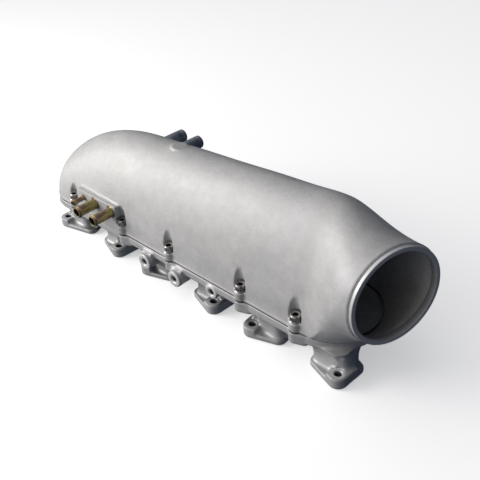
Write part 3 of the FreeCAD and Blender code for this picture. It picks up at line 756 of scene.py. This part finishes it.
def plain_pipe():
    material, tree, shader = new_material("plain_pipe")
    shader.inputs["Metallic"].default_value = 0.9
    haze = noise(tree, 90.0, 4.0, 0.6)
    lines = noise(tree, 1200.0, 2.0, 0.5, (0.1, 3.0, 0.1))
    colour = ramp(tree, haze, [(0.32, (0.42, 0.41, 0.41)), (0.55, (0.60, 0.60, 0.60)),
                               (0.72, (0.70, 0.69, 0.68))])
    worn = mixed(tree, edge_wear(tree, 0.52, 0.60), colour, (0.88, 0.88, 0.88))
    tree.links.new(worn, shader.inputs["Base Color"])
    tree.links.new(span(tree, haze, 0.26, 0.42), shader.inputs["Roughness"])
    bumped(tree, shader, [(lines, 0.15, 0.00008), (haze, 0.1, 0.0003)])
    return material


def turned_aluminium():
    material, tree, shader = new_material("turned_aluminium")
    shader.inputs["Metallic"].default_value = 0.9
    haze = noise(tree, 120.0, 4.0, 0.6)
    lines = noise(tree, 1600.0, 2.0, 0.5, (0.3, 0.3, 3.0))
    colour = ramp(tree, haze, [(0.35, (0.58, 0.58, 0.58)), (0.65, (0.76, 0.76, 0.75))])
    worn = mixed(tree, edge_wear(tree, 0.52, 0.60), colour, (0.9, 0.9, 0.9))
    tree.links.new(worn, shader.inputs["Base Color"])
    tree.links.new(span(tree, haze, 0.22, 0.36), shader.inputs["Roughness"])
    bumped(tree, shader, [(lines, 0.2, 0.0001)])
    return material


def gasket_rubber():
    material, tree, shader = new_material("gasket")
    fibre = noise(tree, 1400.0, 4.0, 0.6)
    patches = noise(tree, 80.0, 4.0, 0.6)
    colour = ramp(tree, patches, [(0.35, (0.022, 0.022, 0.022)), (0.65, (0.060, 0.058, 0.056))])
    threads = ramp(tree, fibre, [(0.4, (0.01, 0.01, 0.01)), (0.7, (0.10, 0.10, 0.10))])
    speckled = mixed(tree, 0.3, colour, threads)
    tree.links.new(speckled, shader.inputs["Base Color"])
    tree.links.new(span(tree, fibre, 0.65, 0.85), shader.inputs["Roughness"])
    bumped(tree, shader, [(fibre, 0.4, 0.0001)])
    return material


def paint(piece, material):
    piece.data.materials.clear()
    piece.data.materials.append(material)


# ------------------------------------------------------------------ studio

def build_floor():
    half = 4.0
    level = CAD_LOW.z - 0.5 * MM
    corners = [(-half, -half, level), (half, -half, level), (half, half, level), (-half, half, level)]
    mesh = bpy.data.meshes.new("studio_floor")
    mesh.from_pydata(corners, [], [(0, 1, 2, 3)])
    floor = bpy.data.objects.new("studio_floor", mesh)
    bpy.context.scene.collection.objects.link(floor)
    material, tree, shader = new_material("studio_floor")
    shader.inputs["Roughness"].default_value = 0.9
    shader.inputs["Base Color"].default_value = (0.93, 0.93, 0.93, 1.0)
    shader.inputs["Emission Color"].default_value = (1.0, 1.0, 1.0, 1.0)
    shader.inputs["Emission Strength"].default_value = 0.45
    paint(floor, material)
    floor.visible_diffuse = False
    floor.visible_glossy = False


def add_light(name, place, target, width, height, power, colour=(1.0, 1.0, 1.0)):
    light = bpy.data.lights.new(name, "AREA")
    light.shape = "RECTANGLE"
    light.size = width
    light.size_y = height
    light.energy = power
    light.color = colour
    item = bpy.data.objects.new(name, light)
    item.location = place
    item.rotation_euler = (Vector(target) - Vector(place)).to_track_quat("-Z", "Y").to_euler()
    bpy.context.scene.collection.objects.link(item)


def build_world():
    """Soft surroundings: bright and warm at the front left, dark and cool at the right and below."""
    world = bpy.data.worlds.new("studio")
    world.use_nodes = True
    tree = world.node_tree
    direction = tree.nodes.new("ShaderNodeTexCoord")
    facing = tree.nodes.new("ShaderNodeVectorMath")
    facing.operation = "DOT_PRODUCT"
    facing.inputs[1].default_value = Vector((-0.62, -0.62, 0.48)).normalized()
    tree.links.new(direction.outputs["Generated"], facing.inputs[0])
    share = span(tree, facing.outputs["Value"], 0.0, 1.0, -0.9, 0.9)
    colour = ramp(tree, share, [(0.0, (0.015, 0.025, 0.048)), (0.45, (0.055, 0.072, 0.110)),
                                (0.70, (0.27, 0.28, 0.31)), (1.0, (1.12, 1.09, 1.075))])
    tree.links.new(colour, tree.nodes["Background"].inputs["Color"])
    tree.nodes["Background"].inputs["Strength"].default_value = 0.8
    bpy.context.scene.world = world


def build_studio():
    build_floor()
    build_world()
    middle = (0.0, 0.03, 0.08)
    add_light("overhead", (-0.65, -0.2, 1.7), middle, 1.8, 1.4, 1.2, (1.0, 0.985, 0.97))
    add_light("key", (-1.20, -1.05, 0.68), middle, 1.1, 0.8, 20.5, (1.0, 0.985, 0.97))
    bpy.context.scene.view_settings.view_transform = "Standard"
    bpy.context.scene.view_settings.look = "None"


def build_camera():
    """The viewpoint: three quarters from the inlet end, a little above."""
    right = Vector((0.7274, 0.6848, -0.0435)).normalized()
    back = Vector((0.5851, -0.5860, 0.5606)).normalized()
    up = back.cross(right).normalized()
    right = up.cross(back)
    camera = bpy.data.cameras.new("camera")
    camera.sensor_width = 36.0
    camera.lens = 49.5
    camera.clip_start = 0.01
    camera.clip_end = 50.0
    item = bpy.data.objects.new("camera", camera)
    turn = Matrix((right, up, back)).transposed().to_4x4()
    item.matrix_world = Matrix.Translation((0.5457, -0.4499, 0.5416)) @ turn
    bpy.context.scene.collection.objects.link(item)
    bpy.context.scene.camera = item


# ------------------------------------------------------------------ assembly

MATERIALS = {
    "cast_upper": cast_aluminium("cast_upper", (0.50, 0.495, 0.49), 0.58),
    "cast_lower": cast_aluminium("cast_lower", (0.46, 0.46, 0.46), 0.45),
    "gasket": gasket_rubber(),
    "turned_aluminium": turned_aluminium(),
    "screw_steel": screw_steel(),
    "zinc_passivated": zinc_passivated(),
    "plain_pipe": plain_pipe(),
}


def finish_piece(piece, slot):
    paint(piece, MATERIALS[slot])
    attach(piece, "root")


finish_piece(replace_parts(build_upper_casting(), "upper_shell"), "cast_upper")
finish_piece(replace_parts(build_lower_casting(), "lower_shell"), "cast_lower")
for row in ("near", "far"):
    for piece in build_cap_screws(row) + build_washers(row):
        finish_piece(piece, "screw_steel")
TOWARDS_FRONT = Vector((0, -1, 0))
finish_piece(build_nipple("nipple_large_1", LARGE_NIPPLE_BORE, TOWARDS_FRONT), "zinc_passivated")
finish_piece(build_nipple("nipple_large_2", LARGE_NIPPLE_BORE, TOWARDS_FRONT), "zinc_passivated")
finish_piece(build_nipple("nipple_small", SMALL_NIPPLE_BORE, TOWARDS_FRONT), "zinc_passivated")
finish_piece(build_nipple("rear_fitting", SMALL_NIPPLE_BORE, -TOWARDS_FRONT), "zinc_passivated")
finish_piece(build_rear_pipe("rear_pipe_1"), "plain_pipe")
finish_piece(build_rear_pipe("rear_pipe_2"), "plain_pipe")
paint(frame["nodes"]["plenum_gasket"], MATERIALS["gasket"])
paint(frame["nodes"]["dowel_sleeves"], MATERIALS["screw_steel"])
for number in range(1, 7):
    paint(frame["nodes"]["bellmouth_%d" % number], MATERIALS["turned_aluminium"])

build_studio()
build_camera()
